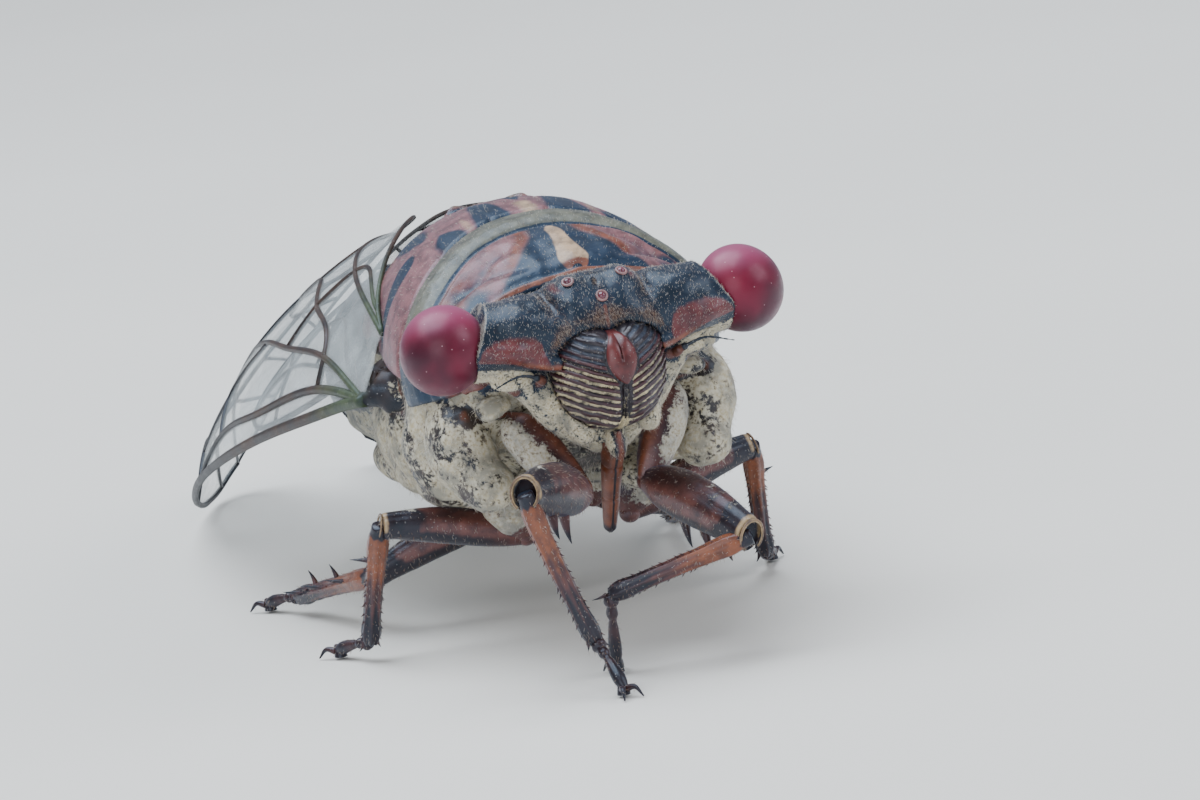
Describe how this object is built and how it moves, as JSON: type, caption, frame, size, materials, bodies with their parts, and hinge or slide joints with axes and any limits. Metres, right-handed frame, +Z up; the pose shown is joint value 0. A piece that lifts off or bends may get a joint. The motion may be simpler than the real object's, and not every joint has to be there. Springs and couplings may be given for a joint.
{
  "type": "cicada",
  "caption": "Large annual cicada standing on its legs with clear wings folded over its back, black and rust thorax, chalky white underside and wine-red eyes.",
  "frame": {"origin": "on the floor under the middle of the box around the standing animal", "axes": "+Y runs from the head back to the wing tips, +X is towards the animal's left, +Z is up"},
  "size_m": [0.0202, 0.0558, 0.0171],
  "materials": {
    "cuticle": "semi-gloss blue-black chitin with a fine grain and short pale hairs",
    "eye": "smooth glossy wine red with fine facets",
    "shield": "satin chitin in black and dusty pinkish rust with an olive rear collar",
    "waxed_cuticle": "chalky white wax over dark chitin",
    "leg": "satin reddish brown chitin, darker towards the feet, with fine hairs",
    "beak": "satin brown chitin",
    "wing": "thin clear membrane with brown veins"
  },
  "bodies": {
    "root": {"abdomen": "cuticle", "abdomen_tip": "cuticle", "antenna_left": "cuticle", "antenna_right": "cuticle", "clypeus": "cuticle", "coxa_front_left": "waxed_cuticle", "coxa_front_right": "waxed_cuticle", "coxa_hind_left": "waxed_cuticle", "coxa_hind_right": "waxed_cuticle", "coxa_middle_left": "waxed_cuticle", "coxa_middle_right": "waxed_cuticle", "eye_left": "eye", "eye_right": "eye", "femur_front_left": "leg", "femur_front_right": "leg", "femur_hind_left": "leg", "femur_hind_right": "leg", "femur_middle_left": "leg", "femur_middle_right": "leg", "forewing_left": "wing", "forewing_right": "wing", "head": "cuticle", "hindwing_left": "wing", "hindwing_right": "wing", "mesonotum": "shield", "operculum_left": "waxed_cuticle", "operculum_right": "waxed_cuticle", "pronotum": "shield", "rostrum": "beak", "tarsus_front_left": "leg", "tarsus_front_right": "leg", "tarsus_hind_left": "leg", "tarsus_hind_right": "leg", "tarsus_middle_left": "leg", "tarsus_middle_right": "leg", "thorax": "waxed_cuticle", "tibia_front_left": "leg", "tibia_front_right": "leg", "tibia_hind_left": "leg", "tibia_hind_right": "leg", "tibia_middle_left": "leg", "tibia_middle_right": "leg"}
  },
  "joints": []
}
